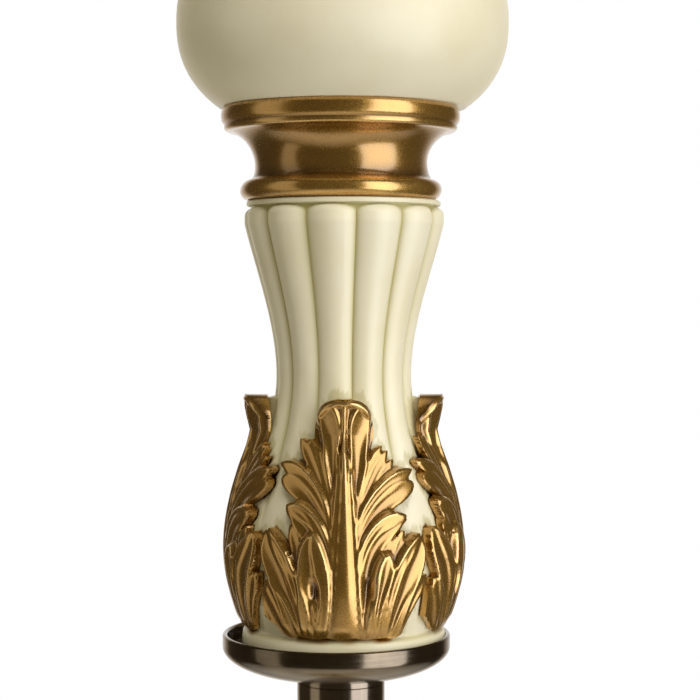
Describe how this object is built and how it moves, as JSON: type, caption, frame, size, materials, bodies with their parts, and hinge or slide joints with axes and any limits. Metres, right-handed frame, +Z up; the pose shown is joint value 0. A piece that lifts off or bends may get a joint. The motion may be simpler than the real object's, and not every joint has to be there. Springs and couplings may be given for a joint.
{
  "type": "floor lamp",
  "caption": "Classical floor lamp: weighted round foot, bronzed column with a reeded, leaf-cased vase and ball knop, harp and fabric shade.",
  "frame": {"origin": "centre of the foot on the floor", "axes": "+Z up along the column, -Y towards the front, where the switch key points"},
  "size_m": [0.4235, 0.4234, 1.5582],
  "materials": {
    "cream_paint": "satin cream paint on cast resin",
    "gold_paint": "satin metallic gold paint on cast resin",
    "antique_bronze": "antiqued bronze, brushed",
    "brass": "lacquered brass",
    "zinc_steel": "zinc plated",
    "cast_iron": "as cast",
    "black_plastic": "moulded",
    "green_felt": "pressed wool felt",
    "kraft_paper": "pressed paper",
    "opal_glass": "opal",
    "shade_linen": "plain-woven linen",
    "gold_braid": "woven braid"
  },
  "bodies": {
    "root": {"felt_pad": "green_felt", "base_weight": "cast_iron", "foot_ring": "gold_paint", "base_shell": "cream_paint", "base_leaf_front": "gold_paint", "base_leaf_right": "gold_paint", "base_leaf_back": "gold_paint", "base_leaf_left": "gold_paint", "base_collar": "gold_paint", "base_cup": "antique_bronze", "cable_gland": "black_plastic", "centre_rod": "zinc_steel", "rod_washer": "zinc_steel", "rod_nuts": "zinc_steel", "lower_tube": "antique_bronze", "tube_plugs": "black_plastic", "lower_dish": "antique_bronze", "dish_spacer": "black_plastic", "vase": "cream_paint", "leaf_front": "gold_paint", "leaf_right": "gold_paint", "leaf_back": "gold_paint", "leaf_left": "gold_paint", "lower_collar": "gold_paint", "ball": "cream_paint", "upper_collar": "gold_paint", "upper_neck": "cream_paint", "upper_cup": "antique_bronze", "upper_tube": "antique_bronze", "top_cup": "antique_bronze", "internal_lead": "black_plastic", "harp_saddle": "brass", "harp": "brass", "socket_cap": "brass", "socket_shell": "brass", "socket_liner": "kraft_paper", "switch_body": "black_plastic", "thread_shell": "zinc_steel", "centre_contact": "brass", "switch_bushing": "brass", "bulb_cap": "zinc_steel", "bulb_glass": "opal_glass", "shade_fabric": "shade_linen", "shade_top_trim": "gold_braid", "shade_bottom_trim": "gold_braid", "shade_spider": "brass", "shade_bottom_wire": "brass", "finial": "gold_paint"},
    "switch": {"switch_shaft": "brass", "switch_knob": "black_plastic"}
  },
  "joints": [
    {"name": "switch_turn", "type": "hinge", "parent": "root", "child": "switch", "pos_m": [0, -0.03, 1.2757], "axis": [0, -1, 0], "continuous": true}
  ]
}
